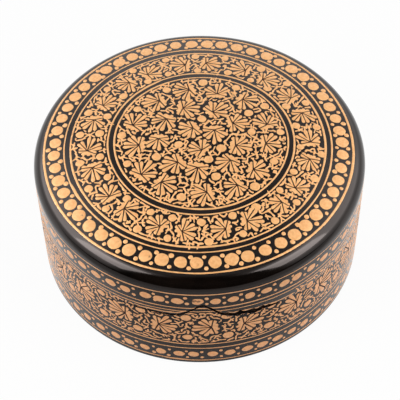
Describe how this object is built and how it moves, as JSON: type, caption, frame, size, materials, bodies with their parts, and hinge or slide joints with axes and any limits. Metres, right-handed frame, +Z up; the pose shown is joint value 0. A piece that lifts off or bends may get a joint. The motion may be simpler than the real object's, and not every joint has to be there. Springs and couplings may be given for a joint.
{
  "type": "round papier mache box",
  "caption": "Round papier mache box: a sawn cup base with a glued collar inside, and a domed lid that lifts straight off over it, set by a crest at the front.",
  "frame": {"origin": "centre of the flat underside, on the surface that the box stands on", "axes": "+Z up along the axis of the round body, -Y towards the front, where the crest of the parting is, +X to the right as seen from the front"},
  "size_m": [0.127, 0.127, 0.0581],
  "materials": {
    "paper_pulp": "raw pressed paper pulp, brown, seen only on the sawn edges",
    "black_lacquer": "chalk and glue ground with glossy black-brown lacquer, painted in gold",
    "sole_lacquer": "plain black lacquer, a little duller and rubbed",
    "lining_lacquer": "thin paper in satin black lacquer",
    "collar_lacquer": "paper board in satin black lacquer, rubbed brown on the lip",
    "gold_paint": "gold paint under clear varnish"
  },
  "bodies": {
    "base": {"base_core": "paper_pulp", "base_skin": "black_lacquer", "base_sole": "sole_lacquer", "base_wall_lining": "lining_lacquer", "base_floor_lining": "lining_lacquer", "base_collar": "collar_lacquer"},
    "lid": {"lid_core": "paper_pulp", "lid_skin": "black_lacquer", "lid_wall_lining": "lining_lacquer", "lid_crown_lining": "lining_lacquer"}
  },
  "joints": [
    {"name": "lid_lift", "type": "slide", "parent": "base", "child": "lid", "axis": [0, 0, 1], "range_m": [0, 0.06]}
  ]
}
